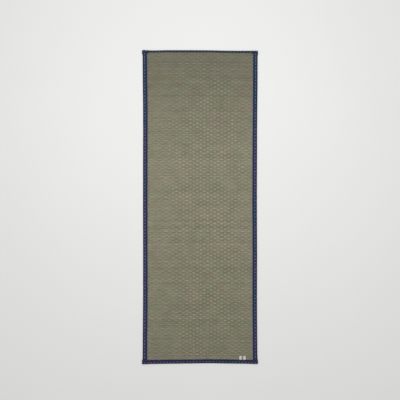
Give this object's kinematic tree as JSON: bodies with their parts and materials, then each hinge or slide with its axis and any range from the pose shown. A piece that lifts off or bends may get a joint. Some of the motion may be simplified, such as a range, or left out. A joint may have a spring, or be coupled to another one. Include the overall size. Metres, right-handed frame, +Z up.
{
  "type": "rush yoga mat",
  "caption": "Long flat mat of woven rush, its four edges bound in folded cloth tape, with a small sewn-in label at one end.",
  "frame": {"origin": "on the floor, under the middle of the mat", "axes": "+Y along the mat to its head end (the top of the picture), +X across it to the right, +Z up"},
  "size_m": [0.6646, 1.8038, 0.0064],
  "materials": {
    "rush": "dried rush stems, woven in raised bundles, slightly glossy",
    "tape": "matt navy cloth tape with a small pale woven repeat",
    "label": "matt cream woven ribbon"
  },
  "bodies": {
    "root": {"rush_panel": "rush", "side_tape_left": "tape", "side_tape_right": "tape", "head_tape": "tape", "foot_tape": "tape", "woven_label": "label"}
  },
  "joints": []
}
